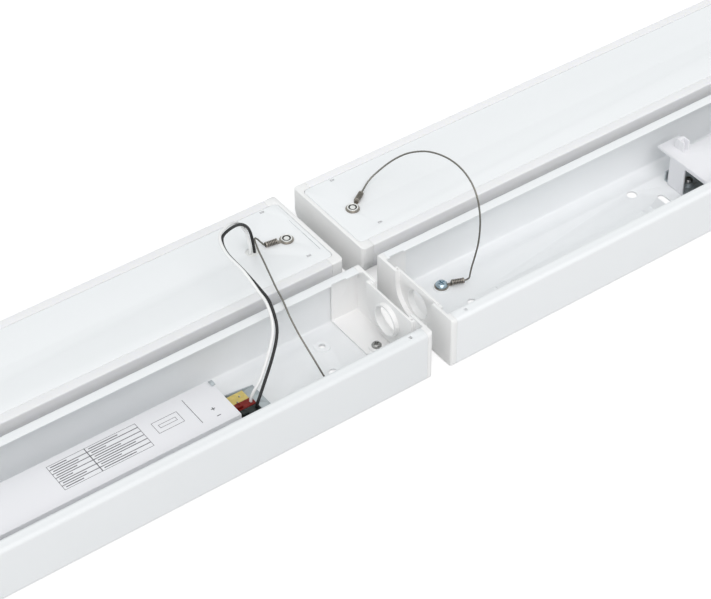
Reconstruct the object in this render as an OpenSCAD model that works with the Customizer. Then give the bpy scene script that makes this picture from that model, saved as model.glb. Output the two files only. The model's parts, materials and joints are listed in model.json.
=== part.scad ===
// Two surface batten lights in line, lying opened out for wiring. Each has a folded
// steel tray that goes on the ceiling, and beside it, upside down, the light module that
// closes on the tray. The origin is on the floor, midway between the two battens and
// midway between trays and modules: the modules turn about a line above it.
// +X runs along the battens, +Y goes from the trays to the modules, +Z is up.

/* [Battens] */
// Length of one batten over its end caps
batten_l = 600; // [560:10:1500]
// Width of the tray and of the light module
batten_w = 80; // [78:1:100]
// Gap between the two battens before they are pushed together
batten_gap = 15; // [2:1:60]
// Gap between a tray and its light module, lying open beside it
open_gap = 14.4; // [12:0.4:40]

/* [Tray] */
// Height of the tray
tray_h = 38.5; // [37:0.5:50]
// Thickness of the sheet steel
sheet_t = 1; // [0.8:0.1:1.2]
// Outer radius of the tray's bends
bend_r = 2.5; // [2:0.1:3.5]
// Width of the flanges turned in along the top of the tray
flange_w = 8; // [6:0.5:10]
// Radius of the round holes in the tray's floor for ceiling screws
fixing_r = 2.75; // [2:0.25:4]
// Distance of each ceiling screw from the end of the batten
fixing_u = 48; // [34:1:110]
// Radius of the round hole for the supply cable
cable_r = 3.5; // [3:0.5:8]
// Distance of the round cable hole from the driver
cable_gap = 26.9; // [20:0.1:60]

/* [Tray end caps] */
// Thickness of the cap's end wall and rim
cap_wall = 2; // [1.6:0.1:2.4]
// Length of the rim that shows outside the tray
cap_rim = 4; // [3:0.5:6]
// Length of the lining that plugs into the tray
cap_lining_l = 22; // [20:1:26]
// Radius of the round-bottomed recess in the end wall
niche_r = 18.9; // [17:0.1:20]
// Height of the centre of that recess
niche_z = 29; // [26:0.5:30]
// Depth of that recess
niche_d = 3.3; // [3:0.1:3.6]
// Radius of the conduit hole in the back of the recess
conduit_r = 10; // [8:0.5:11]
// Height of the centre of the conduit hole
conduit_z = 22.5; // [21:0.5:24]

/* [Light module] */
// Height of the light module, lying on its diffuser
module_h = 32; // [30:0.5:40]
// Radius of the diffuser's curved lower edges
curve_r = 22; // [14:0.5:24]
// Wall of the opal diffuser
diffuser_t = 1.6; // [1.2:0.1:2]
// Width of the diffuser's lips, seen from the back
lip_w = 7; // [6:0.1:9]
// Length of the module's end caps
module_cap_l = 9; // [7:0.5:11]
// Distance between two light-emitting diodes
led_pitch = 15; // [10:1:30]

/* [Driver] */
// Length of the driver's metal base
driver_l = 271.3; // [260:0.1:300]
// Width of the driver's metal base
driver_w = 39; // [38:0.5:42]
// Height of the top of the driver's cover above the underside of the tray
driver_top = 25.6; // [24:0.2:27]
// Distance from the driver's base to the right end of the batten
driver_end = 95.7; // [92:0.1:120]
// Length of the base that the cover leaves open at the output end
open_end = 31.8; // [30:0.1:36]
// Length of the cover over the mains end
mains_l = 72; // [66:1:80]

/* [Fastening and cords] */
// Radius of the steel cord of the module
cord_r = 0.6; // [0.4:0.05:0.7]
// Radius of the two leads over their insulation
lead_r = 1; // [0.7:0.05:1.1]
// Outer radius of a cord's ring lug
lug_r = 4.75; // [4:0.05:5.5]
// Travel of the release buttons on the output terminals
button_travel = 1.2; // [0.6:0.1:1.5]

/* [Hidden] */

$fn = 48;
eps = 0.1;
through = 60;

// Clearances: a loose push fit, a screw in its hole, and a moving piece beside a fixed one
fit = 0.15;
hole_gap = 0.1;
slide_gap = 0.25;

// Where the two battens start, along X
left_x = -batten_gap/2 - batten_l;
right_x = batten_gap/2;
mid_v = batten_w/2;

// Cord lugs: where their rings sit on the module and on the tray, measured from the ends
lug_t = 0.8;
lug_hole_r = 2.15;
barrel_r = 1.9;
barrel_start = 7;
barrel_end = 15.3;
neck_w = 3.2;
module_lug_u = 19;
module_lug_v = mid_v - 2.5;
tray_lug_u = 40.35;
tray_lug_v = 17.55;
module_lug_turn = [32.6, 172];
tray_lug_turn = [-21.8, 150];
pad_r = 5.5;
pad_top = 2.2;
lug_shank_r = 2;
rivet_head_r = 3.8;
rivet_head_h = 1.1;
rivet_dish_r = 3.1;
rivet_dish_d = 0.8;
rivet_tail_r = 3;
rivet_tail_h = 0.8;
lug_screw_r = 4.1;
lug_screw_h = 2.6;

// Ends of the barrels, where the cords go in
barrel_axis = barrel_r;
barrel_bore_r = cord_r + 0.2;

// Tray floor: cable slot, its two pressed beads, cap screws, clip notches in the flanges
slot_gap = 12.3;
slot_v = mid_v + 3.5;
slot_r = 2.5;
slot_l = 12;
cable_v = batten_w - 19;
bead_gap = [33.5, 25.5];
bead_v = mid_v + 1;
bead_l = 6;
mark_u = 70;
notch_l = 11;
notch_d = 1.2;
notch_u = [5.4, 14.3];
screw_shank_r = 1.6;
screw_head_r = 3.2;
screw_head_h = 2.2;
cap_screw_u = 14;
cap_boss_r = 5;
cap_boss_top = 4.6;
flange_slot = [2, 2.5];
flange_slot_v = 3.5;

// Cap lining, the box behind its recess, and the collar round its conduit hole
lining_t = 1.5;
box_r = niche_r + 5;
box_drop = 2;
panel_t = 1.5;
collar_t = 1.5;
collar_l = 3;
cap_round = 2;
pin_u = 3;
pin_v = batten_w - 18.4;
pin_r = 0.8;
pin_depth = 6;
slit_v = 20;
slit = [1, 2.4, 2];

// Module: pan between the lips, lead hole, slots over the catch springs
pan_gap = 0.2;
pan_side_h = 7;
pan_end = 3;
pan_corner_r = 3.5;
pan_edge = lip_w + pan_gap;
pan_slit = [0.5, 36];
pan_slit_u = 6.4;
pan_slit_v = mid_v - 4.7;
module_round = 3;
cap_lining_reach = 8;
lead_hole_u = 43.8;
lead_hole_v = mid_v + 0.8;
lead_hole_r = 4.5;
catch_u = [25.7, 16.2];
catch_slot = [3, 2];
catch_slot_v = [mid_v - 23.8, mid_v + 30.4];
spring_l = 10;
spring_seat = 3.6;
spring_w = 4.6;
spring_h = 5;
spring_t = 0.5;
catch_v = mid_v - pan_edge - sheet_t - spring_w/2 - 0.6;
board_w = 20;
board_t = 1.6;
board_inset = 30;
led_end_room = 10;
clip_end_room = 30;
clip_l = 8;
led_size = [2.8, 3.5, 0.7];
clip_pitch = 135;

// Driver: the base, the board in it, and what stands on the board
driver_x = batten_l - driver_end - driver_l;
driver_v = mid_v - driver_w/2;
mains_wall = 1.5;
mains_x = driver_x - mains_wall;
cable_u = mains_x - cable_gap;
base_wall_h = 8;
cover_t = 0.8;
cover_gap = 0.5;
board_z = 6.4;
pcb_t = 1.6;
pcb_top = board_z + pcb_t;
pcb_x = driver_x + 30;
pcb_end = batten_l - driver_end - 11.3;
pcb_w = 29;
pcb_v = mid_v - 15;
peg_in = 6;
peg_edge = 4;
peg_r = 2;
cover_x = mains_x + mains_l + 0.3;
cover_end = batten_l - driver_end - open_end;
driver_screw_u = [driver_x + 9.5, batten_l - driver_end - 5];
driver_screw_v = [mid_v + 6, mid_v - 12];
driver_boss_top = 5;
driver_boss_r = 4.5;
open_wall_top = [6.3, 2];
hook_v = [12, 14.4, 16.5];
hook_t = 0.6;
hook_reach = 1.6;
filter_u = 50;
filter = [13, 6, 10];
filter_v = [-12, 6];
transformer_u = 78;
core = [24, 22, 15];
winding = [22, 4.6, 8.6];
winding_v = [-8.3, 3.7];
winding_z = 3.2;
core_gap = 0.2;
choke_u = 102;
choke_r = 8;
choke_waist_r = 5;
choke_h = 12;
choke_flange_t = 2;
capacitor_u = [22, 114];
capacitor_r = 6.5;
capacitor_l = 24;

// Output terminals on the board
terminal_x = pcb_end - 19;
terminal_l = 16;
terminal_w = 6.2;
terminal_top = 16.5;
minus_v = mid_v - 14;
plus_v = minus_v + terminal_w + 0.4;
entry_x = terminal_x + 14;
entry_depth = 4.5;
entry_r = lead_r + 0.2;
button_size = [4.6, 3.6];
button_x = terminal_x + 2.4;
button_h = button_travel + 1.6;
button_stand = button_travel + 0.4;

// Mains end: cover with its ear and post, terminal block with three poles
mains_top = driver_top + 0.9;
mains_v = mid_v - 28;
mains_back_v = mid_v + 15;
ear_l = 20;
ear_v = batten_w - 11.8;
ear_round = 2;
plate_t = 2;
post = [5.7, 8.5];
post_x = mains_x + 8.8;
post_v = mains_back_v - 3;
post_top = tray_h - 4;
post_round = 2.5;
post_groove = [3.5, 5];
window_v = [mid_v - 23, mid_v];
window_top = 3.2;
mains_back_z = sheet_t + base_wall_h + 1;
block_x = driver_x + 33;
block_w = 24;
block_l = 22;
block_top = 20;
pole_r = 1.8;
pole_depth = 8;
pole_screw_r = 2;
pole_screw_depth = 4;

// Routes of the two cords of a batten. X is from the batten's left end for the first
// and from its right end for the second. Y and Z are those of the whole part.
outer_route = [
    [27.5, 50.1, 33.9], [31.9, 52.9, 33.9], [36, 55.5, 34.1], [41, 57.7, 36],
    [47, 57.8, 39.8], [55.5, 52, 50], [60, 41, 61.5], [62, 27, 71.5], [62, 13, 79],
    [61, -3, 84.8], [60, -17, 86.3], [59.3, -28, 83], [58.5, -35.5, 76], [57.8, -39.7, 66],
    [57, -41.5, 55], [56.2, -41.4, 43], [55.6, -39.4, 31], [55.7, -36.4, 19.5],
    [56.6, -33.8, 10.5], [57.4, -32.3, 6.4], [56.5, -31.2, 4.4], [54.6, -30.4, 4.1],
    [49.9, -28.5, 4.1]
];
inner_route = [
    [-28.5, 46, 33.9], [-34.2, 46.8, 33.9], [-36.4, 47.8, 36.2], [-39, 48.2, 40.1],
    [-41.7, 47.2, 43.1], [-43.8, 43.6, 43.8], [-46.5, 35.6, 43], [-49.3, 25, 41.8],
    [-52.7, 13.4, 41.1], [-56.4, 1.4, 41.1], [-59.3, -9.7, 40.9], [-61.1, -16.3, 39.7],
    [-62.4, -22.8, 36.7], [-63.1, -32.9, 30.7], [-62.8, -42, 24.5], [-62, -49, 18.6],
    [-60.8, -55, 12], [-59.2, -58.4, 6.8], [-57, -60.1, 4.4], [-53.6, -62, 4.1],
    [-49, -64.7, 4.1]
];

// Routes of the two leads, X from the batten's right end
black_route = [
    [-42, 47.8, 31.1], [-42.6, 48, 37.9], [-43.9, 48.5, 47.8], [-48, 46.3, 56.6],
    [-55.3, 42.2, 64.9], [-67, 35, 72.1], [-78.2, 26.9, 75.5], [-83, 14.4, 74.8],
    [-81.2, -2, 70.3], [-78.2, -14.9, 62.9], [-76.5, -21.9, 56.9], [-78.2, -31, 47.5],
    [-82.8, -37.5, 41], [-92, -45, 33.5], [-103.2, -53, 26.5], [-109.4, -57.3, 22.6],
    [-112, -58.1, 18], [-112, -58.1, 13.5]
];
white_route = [
    [-45.2, 48, 31.1], [-45.3, 48.1, 38], [-46.7, 48.6, 48.4], [-50.2, 47.5, 56.3],
    [-56.8, 44.1, 65.9], [-68.1, 36, 74.4], [-80, 26.8, 77.9], [-84.4, 12.9, 76.2],
    [-82.5, -3.5, 71.7], [-80.5, -15.8, 63.4], [-78.7, -21.5, 57.3], [-80.2, -29.6, 49.3],
    [-84.6, -35.8, 42.7], [-93.4, -42.8, 35], [-103.6, -49.6, 27.6],
    [-109.4, -51.2, 22.8], [-112, -51.5, 18], [-112, -51.5, 13.5]
];
cord_steps = 3;
lead_steps = 3;
tube_sides = 8;

// Puts a piece of a tray, or of a light module, in its place on the batten that starts at x
module in_tray(x) { translate([x, -open_gap/2 - batten_w, 0]) children(); }
module in_module(x) { translate([x, open_gap/2, 0]) children(); }

// Draws a left end piece, and again turned round at the right end
module both_ends() {
    children();
    translate([batten_l, batten_w, 0]) rotate(180) children();
}

// Draws a flat outline, given in Y and Z, as a bar along X
module along_x(l) { rotate([90, 0, 90]) linear_extrude(l) children(); }

// Rectangle with round corners, its lower left corner at the origin
module round_rect(w, h, r) {
    translate([r, 0]) square([w - 2*r, h]);
    translate([0, r]) square([w, h - 2*r]);
    for (x = [r, w - r], y = [r, h - r]) translate([x, y]) circle(r);
}

// Block over the plan of an end cap, its two outer corners rounded
module rounded_end(l, h, r) {
    linear_extrude(h) {
        translate([r, 0]) square([l - r, batten_w]);
        translate([0, r]) square([l, batten_w - 2*r]);
        for (y = [r, batten_w - r]) translate([r, y]) circle(r);
    }
}

// Outline of the tray, drawn in by a distance, open or closed at the top
module tray_outline(inset) {
    translate([inset, inset])
        round_rect(batten_w - 2*inset, tray_h - 2*inset, max(bend_r - inset, 0.3));
}
module tray_mouth(edge) {
    translate([edge, tray_h/2]) square([batten_w - 2*edge, tray_h]);
}

// Cross-section of the light module, drawn in by a distance: flat back, curved lower edges
module module_outline(inset) {
    w = batten_w - 2*inset;
    h = module_h - 2*inset;
    r = curve_r - inset;
    top_r = 1;
    translate([inset, inset]) {
        translate([0, r]) square([w, h - r - top_r]);
        translate([top_r, r]) square([w - 2*top_r, h - r]);
        translate([r, 0]) square([w - 2*r, h]);
        intersection() {
            for (y = [r, w - r]) translate([y, r]) circle(r);
            square([w, r]);
        }
        for (y = [top_r, w - top_r]) translate([y, h - top_r]) circle(top_r);
    }
}

// A closed outline laid down as a pill shape, centred, its length along Y
module pill(l, r, h) {
    translate([-r, r - l/2, 0]) cube([2*r, l - 2*r, h]);
    for (y = [r - l/2, l/2 - r]) translate([0, y, 0]) cylinder(h = h, r = r);
}

// Cross-recessed pan head screw, its head resting at z = 0
module pan_screw(head_r, head_h, shank_r, shank_l) {
    difference() {
        rotate_extrude()
            polygon([[0, 0], [head_r, 0], [head_r, head_h*0.45], [head_r*0.7, head_h],
                     [0, head_h]]);
        for (turn = [0, 90])
            rotate(turn) translate([-head_r*0.55, -0.45, head_h*0.4])
                cube([head_r*1.1, 0.9, head_h]);
    }
    translate([0, 0, -shank_l]) cylinder(h = shank_l + eps, r = shank_r);
}

function unit(v) = v/norm(v);

// Smooth curve through the points of a route
function on_curve(a, b, c, d, t) =
    0.5*((2*b) + (c - a)*t + (2*a - 5*b + 4*c - d)*t*t + (3*b - a - 3*c + d)*t*t*t);
function smooth(p, steps) = let (n = len(p)) concat(
    [for (i = [0:n - 2], s = [0:steps - 1])
        on_curve(i == 0 ? 2*p[0] - p[1] : p[i - 1], p[i], p[i + 1],
                 i == n - 2 ? 2*p[n - 1] - p[n - 2] : p[i + 2], s/steps)],
    [p[n - 1]]);

// Directions along a curve, and a sideways direction carried along it without twist
function directions(p) = let (n = len(p))
    [for (i = [0:n - 1]) unit(p[min(i + 1, n - 1)] - p[max(i - 1, 0)])];
function squared(side, along) = unit(side - (side*along)*along);
function sideways(t) =
    [for (i = 0, s = squared([0.3, 1, 0.2], t[0]); i < len(t);
          i = i + 1, s = i < len(t) ? squared(s, t[i]) : s) s];

// Round tube of radius r along a smooth curve
module tube(p, r) {
    n = len(p);
    t = directions(p);
    s = sideways(t);
    sides = tube_sides;
    points = [for (i = [0:n - 1], k = [0:sides - 1])
        let (a = 360*k/sides) p[i] + r*(cos(a)*s[i] + sin(a)*cross(t[i], s[i]))];
    walls = [for (i = [0:n - 2], k = [0:sides - 1], half = [0, 1])
        let (j = (k + 1)%sides, a = i*sides, b = (i + 1)*sides)
            half == 0 ? [a + k, b + k, b + j] : [a + k, b + j, a + j]];
    first = [for (k = [1:sides - 2]) [0, k, k + 1]];
    last = [for (k = [1:sides - 2]) let (b = (n - 1)*sides) [b, b + k + 1, b + k]];
    polyhedron(points, concat(walls, first, last), convexity = 10);
}

// Folded sheet steel tray, with pads for the cord lugs pressed up in its floor
module tray() {
    color([0.95, 0.96, 0.97]) difference() {
        union() {
            translate([cap_rim, 0, 0]) along_x(batten_l - 2*cap_rim) difference() {
                tray_outline(0);
                tray_outline(sheet_t);
                tray_mouth(flange_w);
            }
            for (u = [tray_lug_u, batten_l - tray_lug_u],
                 v = [tray_lug_v, batten_w - tray_lug_v])
                translate([u, v, sheet_t/2]) cylinder(h = pad_top - sheet_t/2, r = pad_r);
            for (gap = bead_gap)
                translate([mains_x - gap, bead_v, sheet_t/2]) pill(bead_l, 0.8, sheet_t);
            translate([mark_u, mid_v, sheet_t/2]) pill(5, 0.8, sheet_t);
        }
        for (u = [tray_lug_u, batten_l - tray_lug_u], v = [tray_lug_v, batten_w - tray_lug_v])
            translate([u, v, -eps]) cylinder(h = pad_top + 1, r = lug_shank_r + hole_gap);
        for (u = [fixing_u, batten_l - fixing_u])
            translate([u, mid_v, -eps]) cylinder(h = sheet_t + 1, r = fixing_r);
        for (u = [cap_screw_u, batten_l - cap_screw_u])
            translate([u, mid_v, -eps]) cylinder(h = sheet_t + 1, r = screw_shank_r + hole_gap);
        for (i = [0, 1])
            translate([driver_screw_u[i], driver_screw_v[i], -eps])
                cylinder(h = sheet_t + 1, r = screw_shank_r + hole_gap);
        translate([cable_u, cable_v, -eps]) cylinder(h = sheet_t + 1, r = cable_r);
        translate([mains_x - slot_gap, slot_v, -eps]) pill(slot_l, slot_r, sheet_t + 1);
        for (u = [notch_u[0], batten_l - notch_u[1] - notch_l])
            translate([u, batten_w - flange_w - eps, tray_h - sheet_t - 1])
                cube([notch_l, notch_d + eps, sheet_t + 2]);
        for (u = [cap_screw_u, batten_l - cap_screw_u])
            translate([u - flange_slot[0]/2, flange_slot_v, tray_h - sheet_t - 1])
                cube([flange_slot[0], flange_slot[1], sheet_t + 2]);
    }
}

// End cap: rim and end wall outside, lining inside, a recess with the conduit hole,
// and a pin hole and a slit that line one batten up with the next
module tray_cap() {
    back = sheet_t + fit;
    inner = back + lining_t;
    panel_u = niche_d + panel_t;
    difference() {
        union() {
            intersection() {
                union() {
                    along_x(cap_wall) tray_outline(0);
                    along_x(cap_rim - 0.1) difference() {
                        tray_outline(0);
                        tray_outline(cap_wall);
                        tray_mouth(flange_w);
                    }
                }
                rounded_end(cap_lining_l, tray_h + 1, cap_round);
            }
            translate([cap_wall/2, 0, 0]) along_x(cap_lining_l - cap_wall/2) difference() {
                tray_outline(back);
                tray_outline(inner);
                tray_mouth(inner);
            }
            translate([cap_wall/2, 0, 0]) along_x(panel_u - cap_wall/2) intersection() {
                union() {
                    translate([mid_v, niche_z - box_drop]) circle(box_r);
                    translate([mid_v - box_r, niche_z - box_drop]) square([2*box_r, tray_h]);
                }
                tray_outline(back);
            }
            translate([panel_u - eps, mid_v, conduit_z]) rotate([0, 90, 0])
                cylinder(h = collar_l + eps, r = conduit_r + collar_t);
            translate([cap_screw_u, mid_v, back]) cylinder(h = cap_boss_top - back, r = cap_boss_r);
        }
        translate([-eps, 0, 0]) along_x(niche_d + eps) {
            translate([mid_v, niche_z]) circle(niche_r);
            translate([mid_v - niche_r, niche_z]) square([2*niche_r, tray_h]);
        }
        translate([0, mid_v, conduit_z]) rotate([0, 90, 0]) cylinder(h = through, r = conduit_r);
        translate([cap_screw_u, mid_v, 0]) cylinder(h = through, r = screw_shank_r + hole_gap);
        translate([pin_u, pin_v, tray_h - pin_depth]) cylinder(h = through, r = pin_r);
        translate([niche_d - eps, slit_v - slit[1]/2, tray_h - slit[2]])
            cube([slit[0], slit[1], through]);
    }
}
module tray_caps() { color([0.96, 0.96, 0.93]) both_ends() tray_cap(); }

// Two screws through the cap linings and two through the driver's base
module tray_screws() {
    color([0.72, 0.72, 0.7]) {
        for (u = [cap_screw_u, batten_l - cap_screw_u])
            translate([u, mid_v, cap_boss_top])
                pan_screw(screw_head_r, screw_head_h, screw_shank_r, cap_boss_top - 0.4);
        translate([driver_screw_u[0], driver_screw_v[0], driver_boss_top])
            pan_screw(screw_head_r, screw_head_h, screw_shank_r, driver_boss_top - 0.4);
        translate([driver_screw_u[1], driver_screw_v[1], 2*sheet_t])
            pan_screw(screw_head_r, screw_head_h, screw_shank_r, 2*sheet_t - 0.4);
    }
}

// Driver's metal base: a channel, low at the output end, with pegs for the board and a
// hooked tab over the edge of the cover
module driver_base() {
    base_end = batten_l - driver_end;
    hook_top = driver_top + fit + hook_t;
    color([0.68, 0.71, 0.72]) difference() {
        union() {
            difference() {
                translate([driver_x, driver_v, sheet_t]) along_x(driver_l) difference() {
                    square([driver_w, base_wall_h]);
                    translate([sheet_t, sheet_t]) square([driver_w - 2*sheet_t, base_wall_h]);
                }
                translate([0, driver_v + driver_w + 1, 0]) rotate([90, 0, 0])
                    linear_extrude(driver_w + 2)
                        polygon([[cover_end, open_wall_top[0]], [base_end + 1, open_wall_top[1]],
                                 [base_end + 1, tray_h], [cover_end, tray_h]]);
            }
            for (x = [pcb_x + peg_in, pcb_end - peg_in], v = [peg_edge, pcb_w - peg_edge])
                translate([x, pcb_v + v, sheet_t]) cylinder(h = board_z - sheet_t, r = peg_r);
            translate([driver_screw_u[0], driver_screw_v[0], sheet_t])
                cylinder(h = driver_boss_top - sheet_t, r = driver_boss_r);
            translate([cover_end + cover_gap, mid_v + hook_v[1], sheet_t])
                cube([hook_t, hook_v[2] - hook_v[1], hook_top - sheet_t]);
            translate([cover_end - hook_reach, mid_v + hook_v[0], hook_top - hook_t])
                cube([hook_reach + cover_gap + hook_t, hook_v[2] - hook_v[0], hook_t]);
        }
        for (i = [0, 1])
            translate([driver_screw_u[i], driver_screw_v[i], 0])
                cylinder(h = through, r = screw_shank_r + hole_gap);
    }
}

// Driver's circuit board on the pegs
module driver_board() {
    color([0.80, 0.70, 0.38]) translate([pcb_x, pcb_v, board_z])
        cube([pcb_end - pcb_x, pcb_w, pcb_t]);
}

// Transformer, choke and capacitors on the driver's board
module driver_parts() {
    translate([cover_x + transformer_u, mid_v, pcb_top]) {
        color([0.25, 0.25, 0.26]) difference() {
            translate([-core[0]/2, -core[1]/2, 0]) cube(core);
            for (y = winding_v) translate([-core[0]/2 - 1, y - core_gap, winding_z - core_gap])
                cube([core[0] + 2, winding[1] + 2*core_gap, winding[2] + 2*core_gap]);
        }
        color([0.85, 0.72, 0.2]) for (y = winding_v)
            translate([-winding[0]/2, y, winding_z]) cube(winding);
    }
    color([0.15, 0.18, 0.3]) for (u = capacitor_u)
        translate([cover_x + u, mid_v - 6, pcb_top + capacitor_r - 0.1]) intersection() {
            rotate([0, 90, 0]) cylinder(h = capacitor_l, r = capacitor_r);
            translate([-1, -capacitor_r - 1, 0.1 - capacitor_r])
                cube([capacitor_l + 2, 2*capacitor_r + 2, 2*capacitor_r]);
        }
    color([0.75, 0.5, 0.2]) translate([cover_x + choke_u, mid_v, pcb_top]) difference() {
        cylinder(h = choke_h, r = choke_r);
        translate([0, 0, choke_flange_t]) difference() {
            cylinder(h = choke_h - 2*choke_flange_t, r = choke_r + 1);
            translate([0, 0, -1]) cylinder(h = choke_h, r = choke_waist_r);
        }
    }
    color([0.8, 0.3, 0.15]) for (y = filter_v)
        translate([cover_x + filter_u, mid_v + y, pcb_top]) cube(filter);
}

// Driver's folded cover, open at both ends
module driver_cover() {
    w = driver_w - 2*sheet_t - 2*cover_gap;
    h = driver_top - 2*sheet_t - 0.1;
    color([0.95, 0.95, 0.96]) translate([cover_x, mid_v - w/2, driver_top - h])
        along_x(cover_end - cover_x) difference() {
            square([w, h]);
            translate([cover_t, -eps]) square([w - 2*cover_t, h - cover_t + eps]);
        }
}

// Push-in terminal for one lead, with the well of its release button
module terminal() {
    difference() {
        translate([terminal_x, 0, pcb_top]) cube([terminal_l, terminal_w, terminal_top - pcb_top]);
        translate([entry_x, terminal_w/2, terminal_top - entry_depth])
            cylinder(h = entry_depth + 1, r = entry_r);
        translate([button_x - slide_gap, (terminal_w - button_size[1])/2 - slide_gap,
                   terminal_top + button_stand - button_h - button_travel - slide_gap])
            cube([button_size[0] + 2*slide_gap, button_size[1] + 2*slide_gap, through]);
    }
}
module terminal_minus() { color([0.12, 0.13, 0.13]) translate([0, minus_v, 0]) terminal(); }
module terminal_plus() { color([0.62, 0.1, 0.08]) translate([0, plus_v, 0]) terminal(); }

// Release button that a thumb pushes into its terminal
module button() {
    translate([button_x, (terminal_w - button_size[1])/2, terminal_top + button_stand - button_h])
        difference() {
            cube([button_size[0], button_size[1], button_h]);
            translate([button_size[0]/2, button_size[1]/2, button_h - 0.4])
                cylinder(h = 1, r = 1.1);
        }
}
module button_minus() { color([0.2, 0.2, 0.2]) translate([0, minus_v, 0]) button(); }
module button_plus() { color([0.45, 0.05, 0.04]) translate([0, plus_v, 0]) button(); }

// Three-pole terminal block for the supply, under the mains cover
module mains_block() {
    pole = block_w/3;
    color([0.9, 0.9, 0.88]) difference() {
        translate([block_x, mid_v - block_w/2, pcb_top]) cube([block_l, block_w, block_top - pcb_top]);
        for (i = [-1, 0, 1]) {
            translate([block_x - 1, mid_v + i*pole, pcb_top + 5]) rotate([0, 90, 0])
                cylinder(h = pole_depth + 1, r = pole_r);
            translate([block_x + block_l/2, mid_v + i*pole, block_top - pole_screw_depth])
                cylinder(h = through, r = pole_screw_r);
        }
    }
}

// White cover over the mains end: plate with an ear and a grooved post, and an end wall
// with a window
module mains_cover() {
    floor_z = sheet_t + 0.2;
    depth = mains_back_v - mains_v;
    plate_z = mains_top - plate_t;
    wall_h = plate_z + plate_t/2 - floor_z;
    color([0.95, 0.95, 0.95]) difference() {
        union() {
            translate([mains_x, mains_v, plate_z]) cube([mains_l, depth, plate_t]);
            translate([mains_x, mains_v, plate_z])
                cube([ear_l - ear_round, ear_v - mains_v, plate_t]);
            translate([mains_x, mains_v, plate_z])
                cube([ear_l, ear_v - ear_round - mains_v, plate_t]);
            translate([mains_x + ear_l - ear_round, ear_v - ear_round, plate_z])
                cylinder(h = plate_t, r = ear_round);
            translate([post_x, post_v, plate_z]) along_x(post[0]) {
                square([post[1] - post_round, post_top - plate_z]);
                square([post[1], post_top - plate_z - post_round]);
                translate([post[1] - post_round, post_top - plate_z - post_round])
                    circle(post_round);
            }
            translate([mains_x, mains_v, floor_z]) cube([mains_wall, depth, wall_h]);
            translate([mains_x, mains_v, floor_z]) cube([mains_l, mains_wall, wall_h]);
            translate([mains_x, mains_back_v - mains_wall, mains_back_z])
                cube([mains_l, mains_wall, plate_z + plate_t/2 - mains_back_z]);
        }
        translate([mains_x - eps, window_v[0], 0])
            cube([mains_wall + 2*eps, window_v[1] - window_v[0], mains_top - window_top]);
        translate([post_x + (post[0] - post_groove[0])/2, post_v - eps, mains_top])
            cube([post_groove[0], post_groove[1] + eps, through]);
    }
}

// Outline of the pan seen from above, drawn out by a distance, its corners round
module pan_plan(out) {
    translate([pan_end + pan_gap - out, pan_edge - out])
        round_rect(batten_l - 2*(pan_end + pan_gap - out), batten_w - 2*(pan_edge - out),
                   pan_corner_r + out);
}

// Back of the light module: a folded pan with the holes for leads, lugs and catches
module module_pan() {
    w = batten_w - 2*pan_edge;
    color([0.95, 0.95, 0.96]) difference() {
        intersection() {
            translate([0, pan_edge, module_h - pan_side_h]) along_x(batten_l) difference() {
                square([w, pan_side_h]);
                translate([sheet_t, -eps]) square([w - 2*sheet_t, pan_side_h - sheet_t + eps]);
            }
            linear_extrude(module_h + 1) pan_plan(0);
        }
        translate([batten_l - lead_hole_u, lead_hole_v, 0])
            cylinder(h = through, r = lead_hole_r);
        for (u = [module_lug_u, batten_l - module_lug_u])
            translate([u, module_lug_v, 0]) cylinder(h = through, r = lug_shank_r + hole_gap);
        for (u = [catch_u[0], batten_l - catch_u[1]], v = catch_slot_v)
            translate([u - catch_slot[0]/2, v - catch_slot[1]/2, module_h - 2*sheet_t])
                cube([catch_slot[0], catch_slot[1], 3*sheet_t]);
        translate([batten_l - pan_slit_u - pan_slit[0]/2, pan_slit_v - pan_slit[1]/2,
                   module_h - 2*sheet_t])
            cube([pan_slit[0], pan_slit[1], 3*sheet_t]);
    }
}

// End cap of the light module: a cup over the diffuser's end, a lining inside it, and a
// frame round the end of the pan
module module_cap() {
    lining_in = diffuser_t + fit;
    lining_w = 1.4;
    difference() {
        union() {
            intersection() {
                union() {
                    along_x(module_cap_l) difference() {
                        module_outline(0);
                        module_outline(diffuser_t);
                    }
                    along_x(cap_wall) module_outline(0);
                }
                rounded_end(module_cap_l, module_h, module_round);
            }
            translate([cap_wall/2, 0, 0]) along_x(module_cap_l + cap_lining_reach - cap_wall/2)
                difference() {
                    module_outline(lining_in);
                    module_outline(lining_in + lining_w);
                }
        }
        translate([0, 0, module_h - pan_side_h - 0.5]) linear_extrude(through) pan_plan(pan_gap);
    }
}
module module_caps() { color([0.94, 0.94, 0.93]) both_ends() module_cap(); }

// Opal diffuser: an open channel with lips that meet the pan
module diffuser() {
    color([0.93, 0.94, 0.94]) translate([module_cap_l + 0.1, 0, 0])
        along_x(batten_l - 2*module_cap_l - 0.2) difference() {
            module_outline(0);
            module_outline(diffuser_t);
            translate([lip_w, module_h/2]) square([batten_w - 2*lip_w, module_h]);
        }
}

// Long board with the diodes, against the inside of the pan
module led_board() {
    color([0.93, 0.94, 0.92]) translate([board_inset, mid_v - board_w/2, module_h - sheet_t - board_t])
        cube([batten_l - 2*board_inset, board_w, board_t]);
}

// Row of diodes under the board
module leds() {
    room = batten_l - 2*board_inset - 2*led_end_room;
    count = floor(room/led_pitch) + 1;
    start = batten_l/2 - led_pitch*(count - 1)/2;
    color([0.95, 0.85, 0.35]) for (i = [0:count - 1])
        translate([start + i*led_pitch - led_size[0]/2, mid_v - led_size[1]/2,
                   module_h - sheet_t - board_t - led_size[2]])
            cube(led_size);
}

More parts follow.
